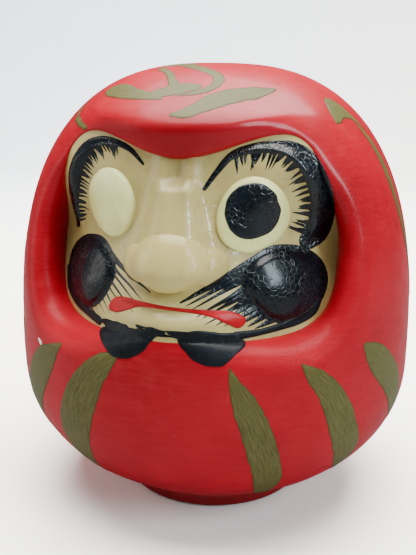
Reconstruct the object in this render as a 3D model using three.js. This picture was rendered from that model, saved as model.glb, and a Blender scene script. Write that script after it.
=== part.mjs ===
// Daruma doll: a papier-mache tumbler figure, built from its separate pieces.
// Millimetres, +Z up, the doll looks along -Y, origin under the middle of its foot.

import * as THREE from "three";
import { mergeVertices } from "three/addons/utils/BufferGeometryUtils.js";

// ---- driving dimensions -------------------------------------------------

const GAP = 0.3;                      // clearance between pieces that touch

const BODY_HALF_WIDTH = 92.5;
const BODY_HALF_DEPTH = 90;
const BODY_TOP = 200;
const BODY_WAIST = 67;                // height of the widest section
const BODY_BOTTOM = 2;                // where the lower curve would close
const UPPER_ROUNDNESS = 2.65;         // superellipse powers of the side outline
const LOWER_ROUNDNESS = 2.15;
const WALL = 2.6;                     // moulded paper pulp

const FOOT_HEIGHT = 8;
const FOOT_RADIUS = 45.5;
const FOOT_TAPER = 1.5;
const FOOT_EDGE = 1.6;                // rounding of the foot's lower edge
const PAPER_THICKNESS = 0.5;
const PAPER_RADIUS = 42;
const WEIGHT_RADIUS = 29;
const WEIGHT_HEIGHT = 20;

const STRIP_WIDTH = 12;
const STRIP_THICKNESS = 0.6;
const STRIP_BEDDING = 1.2;            // glue and slack between strip and shell
const STRIP_CENTRE = [0, 100];        // (x, z) that the strip runs round
const STRIP_START = -0.31 * Math.PI;  // from low on one side, over the top
const STRIP_SWEEP = 1.62 * Math.PI;

const LIP_WIDTH = 16;                 // rolled edge round the face opening
const HOOD_SWELL = 2.2;               // how far the hood's roll stands proud
const HOOD_SWELL_SPREAD = 7;
const HOOD_CREST = 12;                // from the opening's edge to the top of the roll
const SEAM_FADE = 20;                 // the roll has died away this far from the seam
const RIDGE_SWELL = 6;                // the hood's brow ridge over the nose
const RIDGE_CENTRE = [0, 178];
const RIDGE_SPREAD = [30, 9];
const PANEL_THICKNESS = 3;

const FACE_CENTRE = [0, 132];         // (x, z) that the opening is drawn round
const FACE_TOP = 165;                 // height of the face where it meets the hood
const FACE_TOP_DEPTH = 66.5;          // its depth there on the middle line
const FACE_LEAN = 0.325;              // forward lean on the way down
const FACE_RIDGE = 20;                // rounding of the ridge down the middle
const CHEEK_SLOPE = 0.97;             // how steeply the sides fall back, low and high
const TEMPLE_SLOPE = 0.45;
const CHEEK_SLOPE_TOP = 130;

// right half of the face opening, from the dip of the hood down to the chin
const OPENING_HALF = [
  [0, 163.6], [13, 165.8], [26, 170.2], [36, 172.6], [43, 171.8], [49, 167], [53, 158],
  [57, 146], [59.6, 132], [60, 121], [58.8, 109], [55.5, 101.3], [50, 97.2], [42, 95.4],
  [28, 95.6], [13, 97], [0, 97.6],
];

const NOSE_HALF = [
  [0, 158], [5, 157], [7, 150], [8.5, 141], [13, 134.5], [19, 130], [20.3, 124.5],
  [16, 119.3], [8, 117], [0, 116.6],
];
const NOSE_CENTRE = [0, 131];
const NOSE_HEIGHT = 8;
const NOSE_BRIDGE_HEIGHT = 3.2;
const NOSE_TIP = 125;
const NOSE_TIP_SPREAD = 8;

const EYE_CENTRE = [29.5, 145];
const EYE_HALF_WIDTH = 13;
const EYE_HALF_HEIGHT = 14.2;
const EYE_HEIGHT = 3;

const BROW_CENTRELINE = [
  [14, 159.5], [20, 164.2], [29, 166.6], [37.5, 166], [44, 161.6], [48, 154.5], [50.4, 145],
  [50.8, 137.5], [48.6, 133.2],
];
const BROW_HALF_WIDTHS = [0.9, 1.6, 2, 3.1, 4.2, 4.9, 5, 3.9, 1.4];
const BROW_HEIGHT = 3;

const CHEEK_OUTLINE = [
  [36, 129.6], [45, 128.6], [51.5, 124], [55, 116.5], [55.3, 108.5], [52, 102.5], [46, 99.7],
  [38.5, 100.5], [32.5, 105], [27.5, 111.5], [24.5, 118.5], [28, 126],
];
const CHEEK_CENTRE = [42, 114];
const CHEEK_HEIGHT = 6;

const RELIEF_SEAT = 0.5;              // glue bed under an applied relief
const RELIEF_EDGE = 0.6;              // least thickness of an applied relief
const RELIEF_BLUNTNESS = 0.999;       // keeps a dome's rim just short of upright

// ---- body surface --------------------------------------------------------

function smoothStep(value) {
  const t = Math.min(1, Math.max(0, value));
  return t * t * (3 - 2 * t);
}

// horizontal scale of the body at height z, 1 at the waist and 0 at the pole
function sectionScale(z, inset) {
  const upper = z > BODY_WAIST;
  const power = upper ? UPPER_ROUNDNESS : LOWER_ROUNDNESS;
  const reach = (upper ? BODY_TOP - BODY_WAIST : BODY_WAIST - BODY_BOTTOM) - inset;
  const share = Math.min(1, Math.abs(z - BODY_WAIST) / reach);
  return (1 - share ** power) ** (1 / power);
}

// depth |y| of the body at (x, z), for the outer skin or one inset from it
function bodyDepth(x, z, inset = 0) {
  const across = x / (BODY_HALF_WIDTH - inset);
  const square = sectionScale(z, inset) ** 2 - across ** 2;
  return (BODY_HALF_DEPTH - inset) * Math.sqrt(Math.max(0, square));
}

// the recessed face: a leaning prow, steeper to the sides below the eyes
function faceY(x, z) {
  const middle = -FACE_TOP_DEPTH - FACE_LEAN * (FACE_TOP - z);
  const height = smoothStep((z - CHEEK_SLOPE_TOP) / (FACE_TOP - CHEEK_SLOPE_TOP));
  const steepness = CHEEK_SLOPE + (TEMPLE_SLOPE - CHEEK_SLOPE) * height;
  return middle + steepness * (Math.hypot(x, FACE_RIDGE) - FACE_RIDGE);
}

// ---- outlines in the front view ------------------------------------------

function mirrored(half) {
  const inner = half.slice(1, -1);
  const left = inner.map(([x, z]) => [-x, z]).reverse();
  return [...half, ...left];
}

function closedCurve(points) {
  const knots = points.map(([x, z]) => new THREE.Vector3(x, 0, z));
  return new THREE.CatmullRomCurve3(knots, true, "centripetal");
}

// distance from a centre to a closed outline, in each of `count` directions
function radiiByAngle(points, centre, count) {
  const trace = closedCurve(points).getPoints(points.length * 24);
  const polar = trace.map((p) => {
    const dx = p.x - centre[0];
    const dz = p.z - centre[1];
    return { angle: Math.atan2(dz, dx), radius: Math.hypot(dx, dz) };
  });
  polar.sort((a, b) => a.angle - b.angle);
  const radii = [];
  for (let i = 0; i < count; i += 1) {
    const turn = (i / count) * 2 * Math.PI;
    const angle = turn > Math.PI ? turn - 2 * Math.PI : turn;
    const next = polar.findIndex((p) => p.angle > angle);
    const b = polar[next < 0 ? 0 : next];
    const a = polar[next <= 0 ? polar.length - 1 : next - 1];
    const span = (b.angle - a.angle + 2 * Math.PI) % (2 * Math.PI);
    const share = span > 0 ? ((angle - a.angle + 2 * Math.PI) % (2 * Math.PI)) / span : 0;
    radii.push(a.radius + share * (b.radius - a.radius));
  }
  return radii;
}

// distance from a centre to the seam outline (or to the foot plane) at an angle
function seamRadius(angle, centre, inset, floor) {
  const cos = Math.cos(angle);
  const sin = Math.sin(angle);
  let near = 0;
  let far = 250;
  for (let step = 0; step < 40; step += 1) {
    const middle = (near + far) / 2;
    const x = centre[0] + middle * cos;
    const z = centre[1] + middle * sin;
    const inside = z > floor && Math.abs(x) < (BODY_HALF_WIDTH - inset) * sectionScale(z, inset);
    if (inside) near = middle;
    else far = middle;
  }
  return near;
}

// ---- closed meshes from rings of points ----------------------------------

function geometryFrom(points, faces) {
  const geometry = new THREE.BufferGeometry();
  geometry.setAttribute("position", new THREE.Float32BufferAttribute(points.flat(), 3));
  geometry.setIndex(faces.flat());
  const merged = mergeVertices(geometry, 1e-4);
  merged.computeVertexNormals();
  return merged;
}

// rings of equal length joined in order; the last joins the first, or both ends
// are closed by a fan to their middle point
function ringSolid(rings, { loop = false, flip = false } = {}) {
  const count = rings[0].length;
  const points = rings.flat();
  const faces = [];
  const add = (a, b, c) => faces.push(flip ? [a, c, b] : [a, b, c]);
  const bands = loop ? rings.length : rings.length - 1;
  for (let r = 0; r < bands; r += 1) {
    const s = (r + 1) % rings.length;
    for (let i = 0; i < count; i += 1) {
      const j = (i + 1) % count;
      add(r * count + i, r * count + j, s * count + j);
      add(r * count + i, s * count + j, s * count + i);
    }
  }
  if (!loop) {
    const ends = [rings[0], rings[rings.length - 1]];
    ends.forEach((ring, end) => {
      const middle = [0, 1, 2].map((k) => ring.reduce((sum, p) => sum + p[k], 0) / count);
      const start = end === 0 ? 0 : (rings.length - 1) * count;
      points.push(middle);
      const hub = points.length - 1;
      for (let i = 0; i < count; i += 1) {
        const j = (i + 1) % count;
        if (end === 0) add(hub, start + j, start + i);
        else add(hub, start + i, start + j);
      }
    });
  }
  return geometryFrom(points, faces);
}

// ---- shell halves ---------------------------------------------------------

const SHELL_FLOOR = FOOT_HEIGHT + GAP;
const ANGLES = 60;
const openingRadii = radiiByAngle(mirrored(OPENING_HALF), FACE_CENTRE, ANGLES);

// 1 at the opening's edge, 0 where the roll meets the body
function lipFall(distance) {
  const t = Math.min(1, Math.max(0, 1 - distance / LIP_WIDTH));
  return 1 - Math.sqrt(1 - t * t);
}

// the hood's roll swells over the brows and fades out towards the chin
function lipSwell(distance, angle) {
  const overBrows = smoothStep((Math.sin(angle) + 0.5) / 1.1);
  const offset = (distance - HOOD_CREST) / HOOD_SWELL_SPREAD;
  return HOOD_SWELL * overBrows * Math.exp(-offset * offset);
}

// the ridge over the nose
function ridgeSwell(x, z) {
  const u = (x - RIDGE_CENTRE[0]) / RIDGE_SPREAD[0];
  const v = (z - RIDGE_CENTRE[1]) / RIDGE_SPREAD[1];
  return RIDGE_SWELL * Math.exp(-u * u - v * v);
}

function frontRings(inset, lipSteps, bodySteps) {
  const rings = [];
  for (let step = 0; step <= lipSteps + bodySteps; step += 1) {
    const ring = [];
    for (let i = 0; i < ANGLES; i += 1) {
      const angle = (i / ANGLES) * 2 * Math.PI;
      const edge = openingRadii[i];
      const seam = seamRadius(angle, FACE_CENTRE, inset, SHELL_FLOOR);
      const onLip = Math.min(1, step / lipSteps);
      const lip = LIP_WIDTH * (1 - Math.cos((onLip * Math.PI) / 2));
      const beyond = Math.max(0, (step - lipSteps) / bodySteps);
      const distance = lip + (seam - edge - LIP_WIDTH) * Math.sin((beyond * Math.PI) / 2);
      const x = FACE_CENTRE[0] + (edge + distance) * Math.cos(angle);
      const z = FACE_CENTRE[1] + (edge + distance) * Math.sin(angle);
      const body = -bodyDepth(x, z, inset);
      const fall = lipFall(distance - inset);
      const away = smoothStep((seam - edge - distance) / SEAM_FADE);
      const swell = (lipSwell(distance, angle) + ridgeSwell(x, z)) * away * (1 - fall);
      const y = body + fall * (faceY(x, z) + inset - body) - swell;
      ring.push([x, Math.min(y, -GAP / 2), z]);
    }
    rings.push(ring);
  }
  return rings;
}

function shellFront() {
  const outer = frontRings(0, 5, 7);
  const inner = frontRings(WALL, 3, 5).reverse();
  return ringSolid([...outer, ...inner], { loop: true, flip: true });
}

const BACK_CENTRE = [0, 100];

function backRings(inset, steps) {
  const rings = [];
  for (let step = 1; step <= steps; step += 1) {
    const reach = Math.sin((step / steps) * Math.PI / 2);
    const ring = [];
    for (let i = 0; i < ANGLES; i += 1) {
      const angle = (i / ANGLES) * 2 * Math.PI;
      const radius = seamRadius(angle, BACK_CENTRE, inset, SHELL_FLOOR) * reach;
      const x = BACK_CENTRE[0] + radius * Math.cos(angle);
      const z = BACK_CENTRE[1] + radius * Math.sin(angle);
      ring.push([x, Math.max(bodyDepth(x, z, inset), GAP / 2), z]);
    }
    rings.push(ring);
  }
  return rings;
}

function shellBack() {
  const outer = backRings(0, 8);
  const inner = backRings(WALL, 6).reverse();
  return ringSolid([...outer, ...inner]);
}

// ---- face panel and its reliefs --------------------------------------------

function facePanel() {
  const front = [];
  const back = [];
  const shares = [0.12, 0.3, 0.46, 0.6, 0.73, 0.86, 1];
  for (const share of shares) {
    const frontRing = [];
    const backRing = [];
    for (let i = 0; i < ANGLES; i += 1) {
      const angle = (i / ANGLES) * 2 * Math.PI;
      const radius = (openingRadii[i] - GAP) * share;
      const x = FACE_CENTRE[0] + radius * Math.cos(angle);
      const z = FACE_CENTRE[1] + radius * Math.sin(angle);
      frontRing.push([x, faceY(x, z), z]);
      backRing.push([x, faceY(x, z) + PANEL_THICKNESS, z]);
    }
    front.push(frontRing);
    back.push(backRing);
  }
  return ringSolid([...front, ...back.reverse()], { flip: true });
}

// a pad raised from the face: its height falls from the centre to the outline
function reliefPad(outline, centre, height, angles, levels) {
  const radii = radiiByAngle(outline, centre, angles);
  const domed = (x, z, share) => (
    RELIEF_SEAT + RELIEF_EDGE + height(x, z) * Math.sqrt(1 - RELIEF_BLUNTNESS * share ** 2)
  );
  const top = [];
  const under = [];
  for (let level = 1; level <= levels; level += 1) {
    top.push(padRing(radii, centre, level / levels, domed));
    under.unshift(padRing(radii, centre, level / levels, () => RELIEF_SEAT));
  }
  return ringSolid([...top, ...under], { flip: true });
}

function padRing(radii, centre, share, lift) {
  return radii.map((radius, i) => {
    const angle = (i / radii.length) * 2 * Math.PI;
    const x = centre[0] + radius * share * Math.cos(angle);
    const z = centre[1] + radius * share * Math.sin(angle);
    return [x, faceY(x, z) - lift(x, z, share), z];
  });
}

function nose() {
  const height = (x, z) => {
    const bulb = Math.exp(-(((z - NOSE_TIP) / NOSE_TIP_SPREAD) ** 2));
    return NOSE_BRIDGE_HEIGHT + (NOSE_HEIGHT - NOSE_BRIDGE_HEIGHT) * bulb;
  };
  return reliefPad(mirrored(NOSE_HALF), NOSE_CENTRE, height, 32, 4);
}

function eye(side) {
  const outline = [];
  for (let i = 0; i < 16; i += 1) {
    const angle = (i / 16) * 2 * Math.PI;
    const x = side * EYE_CENTRE[0] + EYE_HALF_WIDTH * Math.cos(angle);
    outline.push([x, EYE_CENTRE[1] + EYE_HALF_HEIGHT * Math.sin(angle)]);
  }
  return reliefPad(outline, [side * EYE_CENTRE[0], EYE_CENTRE[1]], () => EYE_HEIGHT, 28, 3);
}

function cheek(side) {
  const outline = CHEEK_OUTLINE.map(([x, z]) => [side * x, z]);
  return reliefPad(outline, [side * CHEEK_CENTRE[0], CHEEK_CENTRE[1]], () => CHEEK_HEIGHT, 28, 3);
}

// a crescent swept along the brow, lens-shaped across
function brow(side) {
  const line = new THREE.CatmullRomCurve3(
    BROW_CENTRELINE.map(([x, z]) => new THREE.Vector3(side * x, 0, z)), false, "centripetal");
  const stations = 16;
  const across = 6;
  const rings = [];
  for (let s = 0; s <= stations; s += 1) {
    const t = s / stations;
    const middle = line.getPoint(t);
    const along = line.getTangent(t);
    const place = t * (BROW_HALF_WIDTHS.length - 1);
    const before = Math.min(BROW_HALF_WIDTHS.length - 2, Math.floor(place));
    const share = place - before;
    const half = BROW_HALF_WIDTHS[before] * (1 - share) + BROW_HALF_WIDTHS[before + 1] * share;
    const ring = [];
    for (let a = 0; a <= across; a += 1) {
      const v = -1 + (2 * a) / across;
      const x = middle.x - along.z * half * v;
      const z = middle.z + along.x * half * v;
      const rise = RELIEF_EDGE + BROW_HEIGHT * (half / 5) * Math.sqrt(1 - RELIEF_BLUNTNESS * v * v);
      ring.push([x, faceY(x, z) - RELIEF_SEAT - rise, z]);
    }
    for (let a = across; a >= 0; a -= 1) {
      const v = -1 + (2 * a) / across;
      const x = middle.x - along.z * half * v;
      const z = middle.z + along.x * half * v;
      ring.push([x, faceY(x, z) - RELIEF_SEAT, z]);
    }
    rings.push(ring);
  }
  return ringSolid(rings, { flip: true });
}

// ---- inside and underneath --------------------------------------------------

// paper strip pasted across the joint of the two halves, inside the doll
function seamStrip() {
  const near = WALL + STRIP_BEDDING;
  const far = near + STRIP_THICKNESS;
  const stations = 56;
  const widths = [-0.5, 0, 0.5];
  const rings = [];
  for (let s = 0; s <= stations; s += 1) {
    const angle = STRIP_START + (s / stations) * STRIP_SWEEP;
    const ring = [];
    const place = (inset, width) => {
      const y = width * STRIP_WIDTH;
      const shrink = Math.sqrt(1 - (y / (BODY_HALF_DEPTH - inset)) ** 2);
      const radius = seamRadius(angle, STRIP_CENTRE, inset, 0) * shrink;
      ring.push([STRIP_CENTRE[0] + radius * Math.cos(angle), y, STRIP_CENTRE[1] + radius * Math.sin(angle)]);
    };
    widths.forEach((width) => place(near, width));
    [...widths].reverse().forEach((width) => place(far, width));
    rings.push(ring);
  }
  return ringSolid(rings);
}

function lathe(profile, segments) {
  const points = profile.map(([radius, z]) => new THREE.Vector2(radius, z));
  const geometry = new THREE.LatheGeometry(points, segments);
  geometry.rotateX(Math.PI / 2);
  geometry.deleteAttribute("normal");
  geometry.deleteAttribute("uv");
  const merged = mergeVertices(geometry, 1e-4);
  merged.computeVertexNormals();
  return merged;
}

const FOOT_BOTTOM = PAPER_THICKNESS + GAP;

function footDisc() {
  const low = FOOT_RADIUS - FOOT_TAPER;
  return lathe([
    [0, FOOT_BOTTOM], [low - FOOT_EDGE, FOOT_BOTTOM], [low - FOOT_EDGE * 0.3, FOOT_BOTTOM + FOOT_EDGE * 0.3],
    [low, FOOT_BOTTOM + FOOT_EDGE], [FOOT_RADIUS, FOOT_HEIGHT - 1.5], [FOOT_RADIUS - 0.4, FOOT_HEIGHT - 0.4],
    [FOOT_RADIUS - 1.4, FOOT_HEIGHT], [0, FOOT_HEIGHT],
  ], 64);
}

function footPaper() {
  return lathe([[0, 0], [PAPER_RADIUS, 0], [PAPER_RADIUS, PAPER_THICKNESS], [0, PAPER_THICKNESS]], 48);
}

// a lump of dried clay with a domed top, seated on the foot
function weight() {
  const bottom = FOOT_HEIGHT + GAP;
  const profile = [[0, bottom], [WEIGHT_RADIUS, bottom]];
  const steps = 7;
  const shoulder = 5;
  for (let i = 0; i <= steps; i += 1) {
    const turn = (i / steps) * Math.PI / 2;
    const radius = WEIGHT_RADIUS * Math.cos(turn);
    profile.push([radius, bottom + shoulder + (WEIGHT_HEIGHT - shoulder) * Math.sin(turn)]);
  }
  profile[profile.length - 1][0] = 0;
  return lathe(profile, 40);
}

// ---- finishes and assembly ----------------------------------------------------

const FINISHES = {
  red: { color: "#b8161c", roughness: 0.42, metalness: 0 },
  cream: { color: "#d6c08f", roughness: 0.3, metalness: 0 },
  eyeWhite: { color: "#d5d1a4", roughness: 0.35, metalness: 0 },
  black: { color: "#12161b", roughness: 0.28, metalness: 0 },
  paper: { color: "#c9b48a", roughness: 0.85, metalness: 0 },
  clay: { color: "#8a7460", roughness: 0.95, metalness: 0 },
};

const doll = new THREE.Group();

function addPiece(name, geometry, finish) {
  const material = new THREE.MeshStandardMaterial(FINISHES[finish]);
  const mesh = new THREE.Mesh(geometry, material);
  mesh.name = name;
  doll.add(mesh);
}

addPiece("shell_front", shellFront(), "red");
addPiece("shell_back", shellBack(), "red");
addPiece("face_panel", facePanel(), "cream");
addPiece("nose", nose(), "cream");
for (const [side, label] of [[-1, "right"], [1, "left"]]) {
  addPiece(`eye_${label}`, eye(side), "eyeWhite");
  addPiece(`brow_${label}`, brow(side), "black");
  addPiece(`cheek_${label}`, cheek(side), "black");
}
addPiece("foot_disc", footDisc(), "red");
addPiece("foot_paper", footPaper(), "paper");
addPiece("base_weight", weight(), "clay");
addPiece("seam_strip", seamStrip(), "paper");

export default doll;
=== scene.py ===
import math

import bpy
import numpy as np
from mathutils import Matrix, Vector


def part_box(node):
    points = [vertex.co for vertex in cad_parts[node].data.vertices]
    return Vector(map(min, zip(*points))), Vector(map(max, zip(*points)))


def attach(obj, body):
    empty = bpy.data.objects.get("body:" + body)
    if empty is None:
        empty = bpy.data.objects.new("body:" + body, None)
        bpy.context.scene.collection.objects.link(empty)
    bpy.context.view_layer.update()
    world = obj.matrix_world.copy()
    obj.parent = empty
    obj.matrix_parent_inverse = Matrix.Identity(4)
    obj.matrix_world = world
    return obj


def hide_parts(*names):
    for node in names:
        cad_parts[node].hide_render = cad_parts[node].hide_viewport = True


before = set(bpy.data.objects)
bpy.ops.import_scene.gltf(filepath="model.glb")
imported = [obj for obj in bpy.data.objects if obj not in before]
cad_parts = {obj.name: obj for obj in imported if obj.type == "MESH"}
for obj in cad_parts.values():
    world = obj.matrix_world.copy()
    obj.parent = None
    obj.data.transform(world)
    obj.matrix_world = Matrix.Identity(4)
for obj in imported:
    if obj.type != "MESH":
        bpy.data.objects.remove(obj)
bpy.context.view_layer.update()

# Daruma doll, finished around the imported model. Shapes are worked out in millimetres,
# +Z up, the doll looking along -Y, and become metres when a mesh is made.

MM = 0.001

# ---- driving dimensions (mm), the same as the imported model's ------------------------

BODY_HALF_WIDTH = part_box("shell_back")[1][0] / MM
BODY_HALF_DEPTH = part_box("shell_back")[1][1] / MM
BODY_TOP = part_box("shell_back")[1][2] / MM
SHELL_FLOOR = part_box("shell_back")[0][2] / MM
BODY_WAIST = 67.0
BODY_BOTTOM = 2.0
UPPER_ROUNDNESS = 2.65
LOWER_ROUNDNESS = 2.15
WALL = 2.6
PANEL_THICKNESS = 3.0

LIP_WIDTH = 16.0
HOOD_SWELL = 2.2
HOOD_SWELL_SPREAD = 7.0
HOOD_CREST = 12.0
SEAM_FADE = 20.0
RIDGE_SWELL = 6.0                     # the hood's brow ridge over the nose
RIDGE_CENTRE = (0.0, 178.0)
RIDGE_SPREAD = (30.0, 9.0)

FACE_CENTRE = (0.0, 132.0)
FACE_TOP = 165.0
FACE_TOP_DEPTH = 66.5
FACE_LEAN = 0.325
FACE_RIDGE = 20.0
CHEEK_SLOPE = 0.97
TEMPLE_SLOPE = 0.45
CHEEK_SLOPE_TOP = 130.0
OPENING_HALF = [
    (0, 163.6), (13, 165.8), (26, 170.2), (36, 172.6), (43, 171.8), (49, 167), (53, 158),
    (57, 146), (59.6, 132), (60, 121), (58.8, 109), (55.5, 101.3), (50, 97.2), (42, 95.4),
    (28, 95.6), (13, 97), (0, 97.6),
]

FOOT_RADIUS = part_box("foot_disc")[1][0] / MM
FOOT_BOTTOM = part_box("foot_disc")[0][2] / MM
FOOT_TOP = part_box("foot_disc")[1][2] / MM

FINE = 1.0      # share of the full mesh density


# ---- curves and fields ---------------------------------------------------------------

def smooth_step(value):
    t = np.clip(value, 0.0, 1.0)
    return t * t * (3.0 - 2.0 * t)


def smooth_max(a, b, blend):
    """The larger of two heights, with a round valley where they meet; 0 where both are 0."""
    blend = np.maximum(1e-6, np.minimum(blend, 1.5 * np.maximum(a, b)))
    h = np.clip(0.5 + 0.5 * (a - b) / blend, 0.0, 1.0)
    return b + (a - b) * h + blend * h * (1.0 - h)


def spline(points, closed=False, per_span=16):
    """Centripetal Catmull-Rom through points of any dimension; knots follow the first two."""
    pts = np.asarray(points, float)
    if closed:
        pts = np.vstack([pts[-1], pts, pts[0], pts[1]])
    else:
        pts = np.vstack([2 * pts[0] - pts[1], pts, 2 * pts[-1] - pts[-2]])
    out = []
    for i in range(1, len(pts) - 2):
        p0, p1, p2, p3 = pts[i - 1:i + 3]
        knots = np.cumsum([0.0] + [max(1e-6, np.linalg.norm((b - a)[:2])) ** 0.5
                                   for a, b in ((p0, p1), (p1, p2), (p2, p3))])
        t = np.linspace(knots[1], knots[2], per_span, endpoint=False)[:, None]
        a1 = (knots[1] - t) / (knots[1] - knots[0]) * p0 + (t - knots[0]) / (knots[1] - knots[0]) * p1
        a2 = (knots[2] - t) / (knots[2] - knots[1]) * p1 + (t - knots[1]) / (knots[2] - knots[1]) * p2
        a3 = (knots[3] - t) / (knots[3] - knots[2]) * p2 + (t - knots[2]) / (knots[3] - knots[2]) * p3
        b1 = (knots[2] - t) / (knots[2] - knots[0]) * a1 + (t - knots[0]) / (knots[2] - knots[0]) * a2
        b2 = (knots[3] - t) / (knots[3] - knots[1]) * a2 + (t - knots[1]) / (knots[3] - knots[1]) * a3
        out.append((knots[2] - t) / (knots[2] - knots[1]) * b1 + (t - knots[1]) / (knots[2] - knots[1]) * b2)
    if not closed:
        out.append(pts[-2][None, :])
    return np.vstack(out)


def mirrored(half):
    """A closed outline from its right half, which starts and ends on the middle line."""
    return list(half) + [(-x, z) for x, z in half[-2:0:-1]]


class Lumps:
    """Smooth seeded noise in 3-D: a sum of a few plane waves, about -1 to 1."""

    def __init__(self, seed, wavelength, waves=9):
        rng = np.random.default_rng(seed)
        directions = rng.normal(size=(waves, 3))
        directions /= np.linalg.norm(directions, axis=1)[:, None]
        self.k = directions * (2 * math.pi / (wavelength * rng.uniform(0.7, 1.4, waves)))[:, None]
        self.phase = rng.uniform(0, 2 * math.pi, waves)
        self.gain = 1.6 / waves

    def __call__(self, x, y, z):
        total = np.zeros(np.broadcast(x, y, z).shape)
        for k, phase in zip(self.k, self.phase):
            total += np.sin(k[0] * x + k[1] * y + k[2] * z + phase)
        return total * self.gain


HAND_LUMPS = Lumps(seed=3, wavelength=46.0)
FINE_LUMPS = Lumps(seed=8, wavelength=15.0)
EDGE_LUMPS = Lumps(seed=21, wavelength=5.0)


# ---- body surface ----------------------------------------------------------------------

def section_scale(z, inset=0.0):
    """Horizontal scale of the body at height z: 1 at the waist, 0 at the pole."""
    z = np.asarray(z, float)
    upper = z > BODY_WAIST
    power = np.where(upper, UPPER_ROUNDNESS, LOWER_ROUNDNESS)
    reach = np.where(upper, BODY_TOP - BODY_WAIST, BODY_WAIST - BODY_BOTTOM) - inset
    share = np.minimum(1.0, np.abs(z - BODY_WAIST) / reach)
    return (1.0 - share ** power) ** (1.0 / power)


def body_depth(x, z, inset=0.0):
    across = np.asarray(x, float) / (BODY_HALF_WIDTH - inset)
    square = section_scale(z, inset) ** 2 - across ** 2
    return (BODY_HALF_DEPTH - inset) * np.sqrt(np.maximum(0.0, square))


def seam_radius(angle, centre, inset=0.0):
    """Distance from a centre to the seam outline or to the shell's floor."""
    near = np.zeros_like(angle)
    far = np.full_like(angle, 250.0)
    for _ in range(40):
        middle = (near + far) / 2
        x = centre[0] + middle * np.cos(angle)
        z = centre[1] + middle * np.sin(angle)
        inside = (z > SHELL_FLOOR) & (np.abs(x) < (BODY_HALF_WIDTH - inset) * section_scale(z, inset))
        near = np.where(inside, middle, near)
        far = np.where(inside, far, middle)
    return near


def radius_by_angle(outline, centre):
    """A function that gives a star-shaped outline's radius at any angle."""
    trace = spline(outline, closed=True, per_span=24)[:, :2] - np.asarray(centre)
    angle = np.arctan2(trace[:, 1], trace[:, 0])
    order = np.argsort(angle)
    turns = np.concatenate([angle[order] - 2 * math.pi, angle[order], angle[order] + 2 * math.pi])
    reach = np.tile(np.hypot(trace[order, 0], trace[order, 1]), 3)
    return lambda a: np.interp(np.arctan2(np.sin(a), np.cos(a)), turns, reach)


opening_radius = radius_by_angle(mirrored(OPENING_HALF), FACE_CENTRE)


# ---- the face and its reliefs -------------------------------------------------------------

def face_floor(x, z):
    """Depth of the recessed face without its reliefs: a leaning prow."""
    middle = -FACE_TOP_DEPTH - FACE_LEAN * (FACE_TOP - z)
    height = smooth_step((z - CHEEK_SLOPE_TOP) / (FACE_TOP - CHEEK_SLOPE_TOP))
    steepness = CHEEK_SLOPE + (TEMPLE_SLOPE - CHEEK_SLOPE) * height
    return middle + steepness * (np.hypot(x, FACE_RIDGE) - FACE_RIDGE)


def gaussian(x, z, centre, widths):
    return np.exp(-((x - centre[0]) / widths[0]) ** 2 - ((z - centre[1]) / widths[1]) ** 2)


def ellipsoid(x, z, centre, radii, height):
    square = 1.0 - ((x - centre[0]) / radii[0]) ** 2 - ((z - centre[1]) / radii[1]) ** 2
    return height * np.sqrt(np.maximum(square, 0.0))


EYE_CENTRES = {1.0: (28.3, 142.8), -1.0: (-30.0, 145.0)}     # the doll's left, then its right
EYE_RADII = {1.0: (12.7, 14.1), -1.0: (12.1, 13.4)}
EYE_RIM = 0.9
EYE_DOME = 3.0


def eye_share(x, z, side):
    """0 at the middle of an eye, 1 at its edge; the outline is a slightly egged oval."""
    u = (x - EYE_CENTRES[side][0]) * side / EYE_RADII[side][0]
    v = (z - EYE_CENTRES[side][1]) / EYE_RADII[side][1]
    return np.hypot(u * (1.0 + 0.05 * v), v)


def eye_height(x, z, side):
    share = eye_share(x, z, side)
    dome = EYE_RIM + EYE_DOME * np.sqrt(np.maximum(0.0, 1.0 - share ** 2))
    edge = smooth_step((1.035 - share) / 0.05)
    return dome * edge


def nose_height(x, z):
    bridge_half = 6.5 + 0.16 * np.maximum(0.0, 150.0 - z)
    across = np.abs(x + 0.5) / bridge_half
    along = smooth_step((157.5 - z) / 6.0) * smooth_step((z - 116.0) / 8.0)
    bridge = (3.4 + 0.05 * (157.0 - z)) * along * smooth_step((1.75 - across) / 1.1)
    tip = ellipsoid(x, z, (-0.5, 126.0), (15.5, 11.0), 7.9)
    wing_left = ellipsoid(x, z, (13.2, 124.4), (8.0, 7.0), 4.2)
    wing_right = ellipsoid(x, z, (-13.8, 124.4), (8.0, 7.0), 4.2)
    wings = np.maximum(wing_left, wing_right)
    return smooth_max(smooth_max(tip, wings, 8.0), bridge, 7.0)


BROW_LINE = [
    (12.5, 157.0, 0.9), (17.5, 163.0, 1.6), (27, 167.0, 2.2), (37.5, 166.6, 3.2),
    (45.0, 162.0, 4.6), (49.2, 154.5, 5.4), (51.2, 145.0, 5.7), (51.3, 137.0, 4.8), (48.6, 131.8, 2.0),
]
BROW_RELIEF = 3.0


def ribbon_distance(x, z, line, side=1.0):
    """Signed distance to a stroke of varying half-width: below 0 inside it."""
    samples = spline(line, per_span=10)
    best = np.full(np.shape(x), 1e3)
    for u, v, half in samples:
        best = np.minimum(best, np.hypot(x - side * u, z - v) - half)
    return best


CHEEK_OUTLINE = [
    (35.5, 129.8), (45, 128.4), (51.8, 124), (55.3, 116.5), (55.8, 108.5), (52.5, 102.6), (46, 99.6),
    (38.5, 100.4), (32.5, 105), (27.5, 111.5), (24.5, 118.5), (28, 126),
]
CHEEK_CENTRE = (42.0, 114.0)
CHEEK_RELIEF = 5.5
cheek_radius = radius_by_angle(CHEEK_OUTLINE, CHEEK_CENTRE)


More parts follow.
